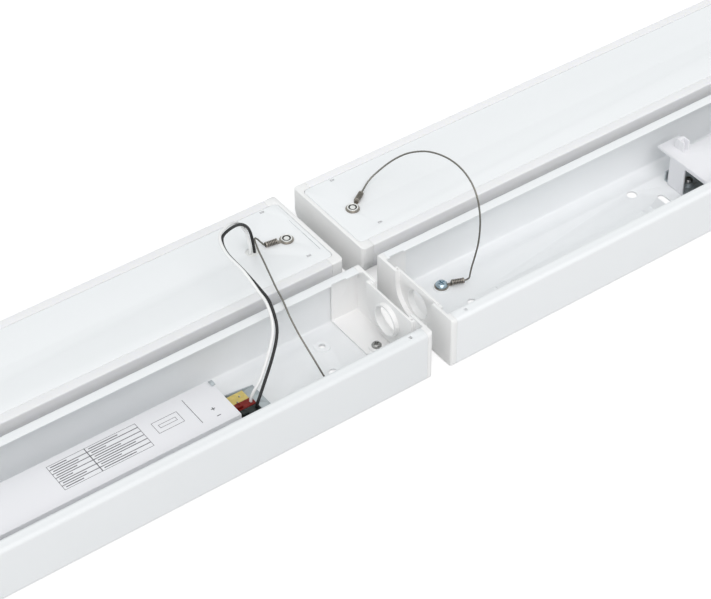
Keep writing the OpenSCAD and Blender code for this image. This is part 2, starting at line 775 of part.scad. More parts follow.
// Pairs of clips that hold the board to the pan
module board_clips() {
    under = module_h - sheet_t - board_t;
    room = batten_l - 2*board_inset - 2*clip_end_room;
    count = floor(room/clip_pitch) + 1;
    start = batten_l/2 - clip_pitch*(count - 1)/2;
    color([0.85, 0.86, 0.86]) for (i = [0:count - 1], side = [0, 1])
        translate([start + i*clip_pitch, mid_v, 0]) mirror([0, side, 0]) {
            translate([-clip_l/2, board_w/2 + 0.1, under - 1]) cube([clip_l, 3, board_t + 1]);
            translate([-clip_l/2, board_w/2 - 1.5, under - 1]) cube([clip_l, 4, 0.95]);
        }
}

// Small springs behind the slots of the pan, that grip the tray's flanges when closed:
// a seat against the pan, and a channel bent down from it
module catch_springs() {
    top = module_h - sheet_t;
    channel = catch_v - spring_w/2;
    color([0.7, 0.7, 0.72])
        for (u = [catch_u[0], batten_l - catch_u[1]], side = [0, 1])
            translate([u - spring_l/2, mid_v, top]) mirror([0, side, 0]) {
                translate([0, channel + spring_t - spring_seat, -spring_t])
                    cube([spring_l, spring_seat, spring_t]);
                translate([0, channel, -spring_h]) cube([spring_l, spring_t, spring_h]);
                translate([0, channel, -spring_h]) cube([spring_l, spring_w, spring_t]);
                translate([spring_l/4, channel + spring_w - spring_t, -spring_h])
                    cube([spring_l/2, spring_t, spring_h - 0.4]);
            }
}

// Ring lug with a crimped barrel, its ring round the origin and its barrel along +X
module lug() {
    difference() {
        union() {
            cylinder(h = lug_t, r = lug_r);
            translate([lug_r - 1, -neck_w/2, 0])
                cube([barrel_start + 2 - lug_r, neck_w, lug_t]);
            translate([barrel_start, 0, barrel_axis]) rotate([0, 90, 0])
                cylinder(h = barrel_end - barrel_start, r = barrel_r);
        }
        translate([0, 0, -eps]) cylinder(h = lug_t + 1, r = lug_hole_r);
        translate([barrel_start + 1, 0, barrel_axis]) rotate([0, 90, 0])
            cylinder(h = barrel_end, r = barrel_bore_r);
    }
}
module module_lugs() {
    color([0.72, 0.68, 0.64]) for (i = [0, 1])
        translate([i == 0 ? module_lug_u : batten_l - module_lug_u, module_lug_v, module_h])
            rotate(module_lug_turn[i]) lug();
}
module tray_lugs() {
    color([0.72, 0.68, 0.64]) for (i = [0, 1])
        translate([i == 0 ? tray_lug_u : batten_l - tray_lug_u,
                   i == 0 ? batten_w - tray_lug_v : tray_lug_v, pad_top])
            rotate(tray_lug_turn[i]) lug();
}

// Rivets with a wide dished head that hold the lugs on the pan
module lug_rivets() {
    color([0.8, 0.8, 0.8]) for (u = [module_lug_u, batten_l - module_lug_u])
        translate([u, module_lug_v, module_h]) difference() {
            union() {
                translate([0, 0, lug_t]) cylinder(h = rivet_head_h, r = rivet_head_r);
                translate([0, 0, -sheet_t - rivet_tail_h])
                    cylinder(h = sheet_t + rivet_tail_h + lug_t + 0.1, r = lug_shank_r);
                translate([0, 0, -sheet_t - rivet_tail_h]) cylinder(h = rivet_tail_h, r = rivet_tail_r);
            }
            translate([0, 0, lug_t + rivet_head_h - rivet_dish_d])
                cylinder(h = through, r = rivet_dish_r);
        }
}

// Zinc plated screws that hold the lugs on the pads of the tray
module lug_screws() {
    color([0.62, 0.72, 0.8]) for (i = [0, 1])
        translate([i == 0 ? tray_lug_u : batten_l - tray_lug_u,
                   i == 0 ? batten_w - tray_lug_v : tray_lug_v, pad_top + lug_t])
            pan_screw(lug_screw_r, lug_screw_h, lug_shank_r, pad_top + lug_t - 0.4);
}

// Steel cords, and the two leads from the board to the output terminals
module cord_outer() { color([0.45, 0.43, 0.4]) tube(smooth(outer_route, cord_steps), cord_r); }
module cord_inner() {
    color([0.45, 0.43, 0.4]) translate([batten_l, 0, 0]) tube(smooth(inner_route, cord_steps), cord_r);
}
module lead_black() {
    color([0.13, 0.13, 0.13]) translate([batten_l, 0, 0]) tube(smooth(black_route, lead_steps), lead_r);
}
module lead_white() {
    color([0.93, 0.93, 0.92]) translate([batten_l, 0, 0]) tube(smooth(white_route, lead_steps), lead_r);
}

in_tray(left_x) tray();  // left_tray
in_tray(left_x) tray_caps();  // left_tray_caps
in_tray(left_x) tray_screws();  // left_tray_screws
in_tray(left_x) driver_base();  // left_driver_base
in_tray(left_x) driver_board();  // left_driver_board
in_tray(left_x) driver_parts();  // left_driver_parts
in_tray(left_x) driver_cover();  // left_driver_cover
in_tray(left_x) terminal_plus();  // left_terminal_plus
in_tray(left_x) terminal_minus();  // left_terminal_minus
in_tray(left_x) button_plus();  // left_button_plus
in_tray(left_x) button_minus();  // left_button_minus
in_tray(left_x) mains_block();  // left_mains_block
in_tray(left_x) mains_cover();  // left_mains_cover
in_module(left_x) module_pan();  // left_module_pan
in_module(left_x) module_caps();  // left_module_caps
in_module(left_x) diffuser();  // left_diffuser
in_module(left_x) led_board();  // left_led_board
in_module(left_x) leds();  // left_leds
in_module(left_x) board_clips();  // left_board_clips
in_module(left_x) catch_springs();  // left_catch_springs
in_module(left_x) module_lugs();  // left_module_lugs
in_module(left_x) lug_rivets();  // left_lug_rivets
in_tray(left_x) tray_lugs();  // left_tray_lugs
in_tray(left_x) lug_screws();  // left_lug_screws
translate([left_x, 0, 0]) cord_outer();  // left_cord_outer
translate([left_x, 0, 0]) cord_inner();  // left_cord_inner
translate([left_x, 0, 0]) lead_black();  // left_lead_black
translate([left_x, 0, 0]) lead_white();  // left_lead_white

in_tray(right_x) tray();  // right_tray
in_tray(right_x) tray_caps();  // right_tray_caps
in_tray(right_x) tray_screws();  // right_tray_screws
in_tray(right_x) driver_base();  // right_driver_base
in_tray(right_x) driver_board();  // right_driver_board
in_tray(right_x) driver_parts();  // right_driver_parts
in_tray(right_x) driver_cover();  // right_driver_cover
in_tray(right_x) terminal_plus();  // right_terminal_plus
in_tray(right_x) terminal_minus();  // right_terminal_minus
in_tray(right_x) button_plus();  // right_button_plus
in_tray(right_x) button_minus();  // right_button_minus
in_tray(right_x) mains_block();  // right_mains_block
in_tray(right_x) mains_cover();  // right_mains_cover
in_module(right_x) module_pan();  // right_module_pan
in_module(right_x) module_caps();  // right_module_caps
in_module(right_x) diffuser();  // right_diffuser
in_module(right_x) led_board();  // right_led_board
in_module(right_x) leds();  // right_leds
in_module(right_x) board_clips();  // right_board_clips
in_module(right_x) catch_springs();  // right_catch_springs
in_module(right_x) module_lugs();  // right_module_lugs
in_module(right_x) lug_rivets();  // right_lug_rivets
in_tray(right_x) tray_lugs();  // right_tray_lugs
in_tray(right_x) lug_screws();  // right_lug_screws
translate([right_x, 0, 0]) cord_outer();  // right_cord_outer
translate([right_x, 0, 0]) cord_inner();  // right_cord_inner
translate([right_x, 0, 0]) lead_black();  // right_lead_black
translate([right_x, 0, 0]) lead_white();  // right_lead_white
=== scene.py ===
# %% [markdown]
# # Two batten lights, opened for wiring
#
# The object is a pair of surface batten lights that lie end to end. Each has a folded
# steel tray that will be screwed to the ceiling, and a light module that lies upside down
# beside it, tied to the tray by two thin steel cords and two leads. The frame that is
# loaded first holds every piece at its real size. This script gives the pieces their edges
# and finishes, lays the cords, and lights the scene as in a product picture.

# %% Load the frame
import json
import math

import bmesh
import bpy
from mathutils import Matrix, Vector


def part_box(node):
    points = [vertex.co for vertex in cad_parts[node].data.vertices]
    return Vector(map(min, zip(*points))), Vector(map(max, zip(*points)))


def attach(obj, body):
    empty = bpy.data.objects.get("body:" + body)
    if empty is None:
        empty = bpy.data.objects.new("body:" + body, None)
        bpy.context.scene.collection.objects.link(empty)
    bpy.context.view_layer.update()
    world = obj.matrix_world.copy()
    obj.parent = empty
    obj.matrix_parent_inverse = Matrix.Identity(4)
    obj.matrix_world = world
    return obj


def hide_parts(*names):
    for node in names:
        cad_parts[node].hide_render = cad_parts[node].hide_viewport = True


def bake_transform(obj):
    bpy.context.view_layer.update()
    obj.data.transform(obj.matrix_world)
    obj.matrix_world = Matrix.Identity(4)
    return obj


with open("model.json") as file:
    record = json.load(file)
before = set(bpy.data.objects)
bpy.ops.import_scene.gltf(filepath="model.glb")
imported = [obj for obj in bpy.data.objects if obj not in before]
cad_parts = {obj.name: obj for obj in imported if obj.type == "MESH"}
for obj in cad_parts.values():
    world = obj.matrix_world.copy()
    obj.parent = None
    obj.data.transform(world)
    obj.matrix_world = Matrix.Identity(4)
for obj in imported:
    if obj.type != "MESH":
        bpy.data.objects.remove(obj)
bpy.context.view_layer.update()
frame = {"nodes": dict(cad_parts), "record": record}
MM = 0.001
NODES = frame["nodes"]
SIDES = ("left", "right")
SLOT_OF = {row["node"]: row["material_slot"] for row in frame["record"]["subparts"]}
BODY_OF = {
    node: body
    for body, nodes in frame["record"]["behaviour"]["bodies"].items()
    for node in nodes
}

# %% [markdown]
# ## The camera
#
# A long lens from the front left and above makes the battens run nearly parallel across
# the picture. A camera could be set by its place and three Euler angles, but those are
# hard to read. So it is set by where it aims, how far away it stands, how far it is turned
# to the side, tipped down and rolled, which is what a photographer would note down.

# %% Place the camera
AIM = Vector((-3.7, 0.13, 0)) * MM
DISTANCE = 1385.4 * MM
AZIMUTH = math.radians(35.557)
ELEVATION = math.radians(42.133)
ROLL = math.radians(-0.508)
LENS = 107.53
NEAREST, FURTHEST = 0.05, 20

ahead = Vector(
    (
        math.sin(AZIMUTH) * math.cos(ELEVATION),
        math.cos(AZIMUTH) * math.cos(ELEVATION),
        -math.sin(ELEVATION),
    )
)
level_right = Vector((math.cos(AZIMUTH), -math.sin(AZIMUTH), 0))
level_up = level_right.cross(ahead)
camera_right = math.cos(ROLL) * level_right + math.sin(ROLL) * level_up
camera_up = math.cos(ROLL) * level_up - math.sin(ROLL) * level_right

camera = bpy.data.objects.new("camera", bpy.data.cameras.new("camera"))
bpy.context.scene.collection.objects.link(camera)
camera.data.lens = LENS
camera.data.clip_start = NEAREST
camera.data.clip_end = FURTHEST
camera.matrix_world = Matrix.Translation(AIM - ahead * DISTANCE) @ (
    Matrix((camera_right, camera_up, -ahead)).transposed().to_4x4()
)
bpy.context.scene.camera = camera
print("camera at", [round(c, 3) for c in camera.matrix_world.translation])

# %% [markdown]
# ## The cords
#
# Each module hangs on two cords of stranded steel, 1.2 mm thick, with a ring lug at both
# ends, and two insulated leads of 2 mm carry the current. A cord could be a curve with a
# round bevel, but then it has no strands. So each is a tube swept along a smooth line
# through listed points. On the steel cords the cross-section has lobes and turns as
# it goes, which gives the lay of the strands.

# %% Points that the cords follow
# X is from the batten's left end for the outer cord, and from its right end for the rest.
OUTER_ROUTE = [
    (27.5, 50.1, 33.9), (31.9, 52.9, 33.9), (36, 55.5, 34.1), (41, 57.7, 36),
    (47, 57.8, 39.8), (55.5, 52, 50), (60, 41, 61.5), (62, 27, 71.5), (62, 13, 79),
    (61, -3, 84.8), (60, -17, 86.3), (59.3, -28, 83), (58.5, -35.5, 76), (57.8, -39.7, 66),
    (57, -41.5, 55), (56.2, -41.4, 43), (55.6, -39.4, 31), (55.7, -36.4, 19.5),
    (56.6, -33.8, 10.5), (57.4, -32.3, 6.4), (56.5, -31.2, 4.4), (54.6, -30.4, 4.1),
    (49.9, -28.5, 4.1),
]
INNER_ROUTE = [
    (-28.5, 46, 33.9), (-34.2, 46.8, 33.9), (-36.4, 47.8, 36.2), (-39, 48.2, 40.1),
    (-41.7, 47.2, 43.1), (-43.8, 43.6, 43.8), (-46.5, 35.6, 43), (-49.3, 25, 41.8),
    (-52.7, 13.4, 41.1), (-56.4, 1.4, 41.1), (-59.3, -9.7, 40.9), (-61.1, -16.3, 39.7),
    (-62.4, -22.8, 36.7), (-63.1, -32.9, 30.7), (-62.8, -42, 24.5), (-62, -49, 18.6),
    (-60.8, -55, 12), (-59.2, -58.4, 6.8), (-57, -60.1, 4.4), (-53.6, -62, 4.1),
    (-49, -64.7, 4.1),
]
BLACK_ROUTE = [
    (-42, 47.8, 31.1), (-42.6, 48, 37.9), (-43.9, 48.5, 47.8), (-48, 46.3, 56.6),
    (-55.3, 42.2, 64.9), (-67, 35, 72.1), (-78.2, 26.9, 75.5), (-83, 14.4, 74.8),
    (-81.2, -2, 70.3), (-78.2, -14.9, 62.9), (-76.5, -21.9, 56.9), (-78.2, -31, 47.5),
    (-82.8, -37.5, 41), (-92, -45, 33.5), (-103.2, -53, 26.5), (-109.4, -57.3, 22.6),
    (-112, -58.1, 18), (-112, -58.1, 13.5),
]
WHITE_ROUTE = [
    (-45.2, 48, 31.1), (-45.3, 48.1, 38), (-46.7, 48.6, 48.4), (-50.2, 47.5, 56.3),
    (-56.8, 44.1, 65.9), (-68.1, 36, 74.4), (-80, 26.8, 77.9), (-84.4, 12.9, 76.2),
    (-82.5, -3.5, 71.7), (-80.5, -15.8, 63.4), (-78.7, -21.5, 57.3), (-80.2, -29.6, 49.3),
    (-84.6, -35.8, 42.7), (-93.4, -42.8, 35), (-103.6, -49.6, 27.6), (-109.4, -51.2, 22.8),
    (-112, -51.5, 18), (-112, -51.5, 13.5),
]
for route in (OUTER_ROUTE, INNER_ROUTE, BLACK_ROUTE, WHITE_ROUTE):
    print(len(route), "points from", route[0], "to", route[-1])


# %% A smooth line through the points
def smooth_line(points, step):
    """Points along a Catmull-Rom curve, about one step apart."""
    p = [Vector(q) for q in points]
    p = [2 * p[0] - p[1], *p, 2 * p[-1] - p[-2]]
    line = []
    for a, b, c, d in zip(p, p[1:], p[2:], p[3:]):
        slope = c - a
        bend = 2 * a - 5 * b + 4 * c - d
        change = 3 * b - a - 3 * c + d
        count = max(2, round((c - b).length / step))
        for i in range(count):
            t = i / count
            line.append(0.5 * (2 * b + slope * t + bend * t**2 + change * t**3))
    return [*line, p[-2]]


print(len(smooth_line(OUTER_ROUTE, 1)), "points at 1 mm on the outer cord")

# %% One ring of the tube
STRANDS = 6
STRAND_DEPTH = 0.16
LAY_LENGTH = 7 * MM


def ring_shape(radius, sides, lobes):
    """Angle and radius of each corner of the cross-section, with lobes for strands."""
    shape = []
    for k in range(sides):
        angle = 2 * math.pi * k / sides
        dip = 1 - abs(math.cos(angle * lobes / 2)) if lobes else 0
        shape.append((angle, radius * (1 - STRAND_DEPTH * dip)))
    return shape


print("a strand sinks by", round(0.6 * STRAND_DEPTH, 2), "mm between its neighbours")


# %% The tube along the line
def swept_tube(name, line, radius, sides, lobes=0):
    """A closed tube. With lobes, its cross-section has that many strands and twists."""
    bm = bmesh.new()
    shape = ring_shape(radius, sides, lobes)
    rings = []
    side = Vector((0.3, 1, 0.2))  # any direction that isn't along the cord
    gone = 0
    for i, point in enumerate(line):
        along = (line[min(i + 1, len(line) - 1)] - line[max(i - 1, 0)]).normalized()
        side = (side - side.dot(along) * along).normalized()
        across = along.cross(side)
        gone += (point - line[i - 1]).length if i else 0
        turn = 2 * math.pi * gone / LAY_LENGTH if lobes else 0
        rings.append([
            bm.verts.new(
                point + r * (math.cos(a + turn) * side + math.sin(a + turn) * across)
            )
            for a, r in shape
        ])
    for a, b in zip(rings, rings[1:]):
        for k in range(sides):
            j = (k + 1) % sides
            bm.faces.new((a[k], a[j], b[j], b[k]))
    bm.faces.new(list(reversed(rings[0])))
    bm.faces.new(rings[-1])
    mesh = bpy.data.meshes.new(name)
    bm.to_mesh(mesh)
    bm.free()
    for face in mesh.polygons:
        face.use_smooth = len(face.vertices) == 4
    piece = bpy.data.objects.new(name, mesh)
    bpy.context.scene.collection.objects.link(piece)
    return piece


# %% [markdown]
# A cord is more than its shape: it runs from the module, over the hinge, to the tray. It
# could be parented to one of them, but then its other end would come away when the module
# is swung over. So the script parents it to neither.

# %% A helper that lays a cord
CORD_RADIUS = 0.6 * MM
LEAD_RADIUS = 1.0 * MM


def lay_cord(node, route, start_x, radius, step, **shape):
    line = smooth_line([Vector(p) * MM + Vector((start_x, 0, 0)) for p in route], step)
    piece = swept_tube(node.replace("_", ".", 1), line, radius, **shape)
    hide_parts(node)
    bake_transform(piece)
    return piece


# %% Lay the cords and leads of both battens
BATTEN_GAP = 15 * MM
BATTEN_LENGTH = 600 * MM
LEFT_END = {"left": -BATTEN_GAP / 2 - BATTEN_LENGTH, "right": BATTEN_GAP / 2}
CORD_STEP, CORD_SIDES = 0.6 * MM, 24
LEAD_STEP, LEAD_SIDES = 1.2 * MM, 16
cords = {}
for side in SIDES:
    from_left = LEFT_END[side]
    from_right = from_left + BATTEN_LENGTH
    for name, route, start_x in (
        ("cord_outer", OUTER_ROUTE, from_left),
        ("cord_inner", INNER_ROUTE, from_right),
    ):
        cords[f"{side}_{name}"] = lay_cord(
            f"{side}_{name}", route, start_x, CORD_RADIUS, CORD_STEP,
            sides=CORD_SIDES, lobes=STRANDS
        )
    for name, route in (("lead_black", BLACK_ROUTE), ("lead_white", WHITE_ROUTE)):
        cords[f"{side}_{name}"] = lay_cord(
            f"{side}_{name}", route, from_right, LEAD_RADIUS, LEAD_STEP, sides=LEAD_SIDES
        )

# %% [markdown]
# ## Finishes
#
# Nearly everything is white, so the finishes have to differ in small ways: powder coat on
# the sheet steel has a faint orange peel, moulded plastic is a little warmer and duller,
# and the opal diffuser lets some light in. Each could be one flat colour, but then they
# would all look alike. So each finish is a node tree with noise for the colour, the gloss
# and the bump, on object coordinates, which are in metres.


# %% A pattern that makes a finish uneven
def pattern_node(tree, kind, size):
    """A texture whose clouds or flakes are so many millimetres across."""
    place = tree.nodes.new("ShaderNodeTexCoord")
    pattern = tree.nodes.new(kind)
    pattern.inputs["Scale"].default_value = 1 / (size * MM)
    tree.links.new(place.outputs["Object"], pattern.inputs["Vector"])
    return pattern


def mottling(tree, size, spangle):
    """Soft clouds, or the flakes of a zinc coat."""
    if spangle:
        return pattern_node(tree, "ShaderNodeTexVoronoi", size).outputs["Color"]
    clouds = pattern_node(tree, "ShaderNodeTexNoise", size)
    clouds.inputs["Detail"].default_value = 4
    return clouds.outputs["Fac"]


print("patterns: clouds and flakes")

# %% A bump for the grain of a surface
BUMP_STRENGTH = 0.5


def grain_bump(tree, height, size):
    """A fine bump, with its height and its size across in millimetres."""
    grains = pattern_node(tree, "ShaderNodeTexNoise", size)
    grains.inputs["Detail"].default_value = 2
    bump = tree.nodes.new("ShaderNodeBump")
    bump.inputs["Strength"].default_value = BUMP_STRENGTH
    bump.inputs["Distance"].default_value = height * MM
    tree.links.new(grains.outputs["Fac"], bump.inputs["Height"])
    return bump.outputs["Normal"]


print("bump strength", BUMP_STRENGTH)

# %% A helper that builds a finish
GLOSS_SPREAD = 0.1
SCATTER = (0.004, 0.004, 0.0035)


def make_finish(name, colour, roughness, metallic=0.0, mottle=0.03, mottle_size=12,
                grain=0.0, grain_size=0.5, subsurface=0.0, specular=0.5, spangle=False):
    """A material: its colour varies by mottle over mottle_size mm, and grain is the
    height in mm of a bump that is grain_size mm across. Spangle varies it by flakes."""
    material = bpy.data.materials.new(name)
    material.use_nodes = True
    tree = material.node_tree
    shader = tree.nodes["Principled BSDF"]
    shader.inputs["Metallic"].default_value = metallic
    shader.inputs["Specular IOR Level"].default_value = specular
    shader.inputs["Subsurface Weight"].default_value = subsurface
    shader.inputs["Subsurface Radius"].default_value = SCATTER
    change = mottling(tree, mottle_size, spangle)

    tint = tree.nodes.new("ShaderNodeMix")
    tint.data_type = "RGBA"
    tint.inputs["A"].default_value = (*(c * (1 - mottle) for c in colour), 1)
    tint.inputs["B"].default_value = (*(min(1, c * (1 + mottle)) for c in colour), 1)
    tree.links.new(change, tint.inputs["Factor"])
    tree.links.new(tint.outputs["Result"], shader.inputs["Base Color"])

    gloss = tree.nodes.new("ShaderNodeMapRange")
    gloss.inputs["To Min"].default_value = roughness * (1 - GLOSS_SPREAD)
    gloss.inputs["To Max"].default_value = min(1, roughness * (1 + GLOSS_SPREAD))
    tree.links.new(change, gloss.inputs["Value"])
    tree.links.new(gloss.outputs["Result"], shader.inputs["Roughness"])

    if grain:
        tree.links.new(grain_bump(tree, grain, grain_size), shader.inputs["Normal"])
    return material


print("gloss varies by", GLOSS_SPREAD, "both ways")

# %% The white finishes
FINISH = {
    "tray_paint": make_finish("white powder coat", (0.872, 0.889, 0.9), 0.38,
                              mottle=0.012, mottle_size=60, grain=0.012, grain_size=0.9),
    "cap_plastic": make_finish("white moulded plastic", (0.885, 0.885, 0.88), 0.45,
                               mottle=0.015, mottle_size=30, grain=0.006, grain_size=0.3),
    "cover_plastic": make_finish("smooth white cover", (0.84, 0.84, 0.865), 0.3,
                                 mottle=0.01, mottle_size=40, grain=0.004, grain_size=0.4),
    "diffuser_opal": make_finish("opal diffuser", (0.87, 0.87, 0.88), 0.32, mottle=0.008,
                                 mottle_size=80, subsurface=0.3),
    "led_board": make_finish("white lacquered board", (0.84, 0.85, 0.83), 0.35),
    "lead_white": make_finish("white insulation", (0.88, 0.88, 0.875), 0.4, mottle=0.02,
                              mottle_size=3),
}
print(len(FINISH), "white finishes")

# %% The coloured and dark finishes
FINISH |= {
    "board_material": make_finish("circuit board", (0.74, 0.585, 0.17), 0.35, mottle=0.3,
                                  mottle_size=3, grain=0.01, grain_size=0.6),
    "driver_parts": make_finish("driver part", (0.06, 0.06, 0.06), 0.5, mottle=0.2),
    "terminal_red": make_finish("dark red plastic", (0.19, 0.012, 0.008), 0.35,
                                mottle=0.35, mottle_size=2, grain=0.006, grain_size=0.4,
                                specular=0.25),
    "terminal_black": make_finish("black plastic", (0.016, 0.022, 0.020), 0.38,
                                  mottle=0.15, mottle_size=4, grain=0.006,
                                  grain_size=0.4, specular=0.3),
    "led_chip": make_finish("yellow phosphor", (0.83, 0.62, 0.10), 0.4),
    "lead_black": make_finish("black insulation", (0.004, 0.004, 0.0045), 0.5,
                              mottle=0.2, mottle_size=3),
}
print(len(FINISH), "finishes with the coloured ones")

# %% The metal finishes
FINISH |= {
    "driver_metal": make_finish("galvanised sheet", (0.47, 0.51, 0.53), 0.42,
                                metallic=0.55, mottle=0.2, mottle_size=3.5, grain=0.01,
                                grain_size=1.5, spangle=True),
    "spring_steel": make_finish("spring steel", (0.45, 0.45, 0.46), 0.3, metallic=1),
    "screw_steel": make_finish("zinc plated steel", (0.36, 0.36, 0.35), 0.33, metallic=1,
                               mottle=0.12, mottle_size=1.5, grain=0.008,
                               grain_size=0.3),
    "lug_steel": make_finish("tinned lug", (0.29, 0.265, 0.235), 0.34, metallic=1,
                             mottle=0.15, mottle_size=1.5, grain=0.01, grain_size=0.3),
    "blue_zinc": make_finish("blue zinc", (0.42, 0.52, 0.58), 0.24, metallic=1,
                             mottle=0.15, mottle_size=1.2, grain=0.006, grain_size=0.4),
    "cord_steel": make_finish("stranded steel", (0.20, 0.19, 0.17), 0.4, metallic=0.9,
                              mottle=0.25, mottle_size=0.8),
}
print(len(FINISH), "finishes in all")


# %% Paint the cords
def paint(piece, *finishes):
    """Gives a piece its finish, or several to choose from."""
    piece.data.materials.clear()
    for finish in finishes:
        piece.data.materials.append(finish)


for node, piece in cords.items():
    paint(piece, FINISH[SLOT_OF[node]])
print(len(cords), "cords painted")

# %% [markdown]
# ## Soft edges
#
# No real edge is perfectly sharp: folded sheet, moulded plastic and plating all round it
# a little, and that rounding catches the light as a thin bright line. The frame's pieces
# have sharp edges. A bevel could run on them as they are, but it would also bevel every
# line between their triangles. So each is copied, its triangles are joined into flat
# faces, and a small bevel runs along what is left. The copy then stands for the sharp
# piece.

# %% Join the triangles of a frame piece
MERGE = 0.002 * MM
FLAT = math.radians(0.5)


def flat_faced(node):
    """The mesh of a node with its points merged and its triangles joined."""
    bm = bmesh.new()
    bm.from_mesh(NODES[node].data)
    bmesh.ops.remove_doubles(bm, verts=bm.verts, dist=MERGE)
    bmesh.ops.dissolve_limit(bm, angle_limit=FLAT, verts=bm.verts, edges=bm.edges)
    return bm


joined = flat_faced("left_tray")
triangles = len(NODES["left_tray"].data.polygons)
print("tray:", triangles, "triangles joined into", len(joined.faces), "faces")
joined.free()

# %% Give each sharp edge its share of the bevel
SHARP = math.radians(35)
RIM_INSET = 1.2 * MM
RIM_DEPTH = 0.05 * MM


def weigh_edges(bm, node, width, rim_width):
    """Weighs the sharp edges for a bevel. Those that run round the top have their own."""
    low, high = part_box(node)
    weight = bm.edges.layers.float.new("bevel_weight_edge")
    widest = max(width, rim_width)
    for edge in bm.edges:
        if edge.calc_face_angle(0) > SHARP:
            middle = (edge.verts[0].co + edge.verts[1].co) / 2
            inset = min(*(middle[k] - low[k] for k in (0, 1)),
                        *(high[k] - middle[k] for k in (0, 1)))
            on_rim = rim_width and inset < RIM_INSET and middle.z > high[2] - RIM_DEPTH
            edge[weight] = (rim_width if on_rim else width) / widest
    return widest


print("an edge is sharp from", round(math.degrees(SHARP)), "degrees")

# %% A bevelled copy of a piece of the frame
SMOOTH = math.radians(40)


def alone(piece):
    """Makes this the only selected piece."""
    bpy.ops.object.select_all(action="DESELECT")
    piece.select_set(True)
    bpy.context.view_layer.objects.active = piece


def with_soft_edges(node, width, rim_width=0):
    """A copy of a node with its edges rounded, in millimetres, which replaces the node."""
    bm = flat_faced(node)
    widest = weigh_edges(bm, node, width, rim_width)
    mesh = bpy.data.meshes.new(node)
    bm.to_mesh(mesh)
    bm.free()
    piece = bpy.data.objects.new(node.replace("_", ".", 1), mesh)
    bpy.context.scene.collection.objects.link(piece)
    alone(piece)
    bevel = piece.modifiers.new("edges", "BEVEL")
    bevel.width = widest * MM
    bevel.segments = 2
    bevel.limit_method = "WEIGHT"
    bevel.use_clamp_overlap = False
    bpy.ops.object.modifier_apply(modifier="edges")
    bpy.ops.object.shade_smooth_by_angle(angle=SMOOTH)
    paint(piece, FINISH[SLOT_OF[node]])
    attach(piece, BODY_OF[node])
    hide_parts(node)
    return piece


# %% Round the edges of what shows
EDGE = {
    "tray": 0.2, "tray_caps": 0.1, "driver_base": 0.12, "driver_board": 0.1,
    "driver_cover": 0.2, "terminal_plus": 0.2, "terminal_minus": 0.2, "button_plus": 0.2,
    "button_minus": 0.2, "mains_block": 0.25, "mains_cover": 0.3, "module_pan": 0.12,
    "module_caps": 0.4, "diffuser": 0.4, "lug_screws": 0.12, "tray_screws": 0.1,
}
RIM = {"module_pan": 0.7}
for side in SIDES:
    for part, width in EDGE.items():
        piece = with_soft_edges(f"{side}_{part}", width, RIM.get(part, 0))
        print(piece.name, len(piece.data.polygons), "faces")
for node, cad_piece in NODES.items():
    paint(cad_piece, FINISH[SLOT_OF[node]])

# %% [markdown]
# ## Working by hand
#
# The small parts that give the picture its life are modelled from here on as one would by
# hand: add a primitive, go into edit mode, choose faces, and push, inset or scale them.
# In a script, choosing is the hard part. Faces could be picked by their numbers, but these
# change with every edit. So one helper selects the faces that pass a test on their middle
# and their direction.


# %% Start from a primitive, with nothing else selected
def into_edit_mode():
    """Puts the new piece's place and size into its mesh, and opens it."""
    piece = bpy.context.object
    bpy.ops.object.transform_apply()
    bpy.ops.object.mode_set(mode="EDIT")
    return piece


def start_cylinder(sides, radius, height, middle, **turned):
    """A cylinder open in edit mode, with its sizes in millimetres."""
    bpy.ops.object.select_all(action="DESELECT")
    bpy.ops.mesh.primitive_cylinder_add(
        vertices=sides, radius=radius * MM, depth=height * MM,
        location=[c * MM for c in middle], **turned,
    )
    return into_edit_mode()


def start_plane(length, width, middle=(0, 0)):
    """A plane open in edit mode, with its sizes in millimetres."""
    bpy.ops.object.select_all(action="DESELECT")
    bpy.ops.mesh.primitive_plane_add(size=1 * MM)
    bpy.context.object.scale = (length, width, 1)
    bpy.context.object.location = (middle[0] * MM, middle[1] * MM, 0)
    return into_edit_mode()


print("primitives: cylinder and plane")


# %% Choose faces and push them
def choose(test):
    """Selects the faces whose middle and normal pass the test, in millimetres."""
    mesh = bpy.context.object.data
    bm = bmesh.from_edit_mesh(mesh)
    bpy.ops.mesh.select_mode(type="FACE")
    for face in bm.faces:
        face.select_set(bool(test(face.calc_center_median() / MM, face.normal)))
    bmesh.update_edit_mesh(mesh)
    return sum(face.select for face in bm.faces)


def push(x, y, z):
    """Extrudes what is selected by so many millimetres."""
    bpy.ops.mesh.extrude_region_move(
        TRANSFORM_OT_translate={"value": (x * MM, y * MM, z * MM)}
    )


def inset(thickness, **how):
    """Insets what is selected by so many millimetres."""
    bpy.ops.mesh.inset(thickness=thickness * MM, **how)


def lift(z):
    """Moves what is selected up by so many millimetres."""
    bpy.ops.transform.translate(value=(0, 0, z * MM))


print("moves: choose, push, inset and lift")


# %% Cut across, and give a sheet its thickness
def cut_across(axis, places):
    """Cuts the whole mesh at right angles to an axis, at these places in millimetres."""
    for place in places:
        bpy.ops.mesh.select_all(action="SELECT")
        point = [0, 0, 0]
        normal = [0, 0, 0]
        point[axis] = place * MM
        normal[axis] = 1
        bpy.ops.mesh.bisect(plane_co=point, plane_no=normal)


def thicken(z):
    """Extrudes a flat sheet by so many millimetres into a closed body."""
    bpy.ops.mesh.select_all(action="SELECT")
    push(0, 0, z)
    bpy.ops.mesh.select_all(action="SELECT")
    bpy.ops.mesh.normals_make_consistent(inside=False)


print("cuts: across X or Y")


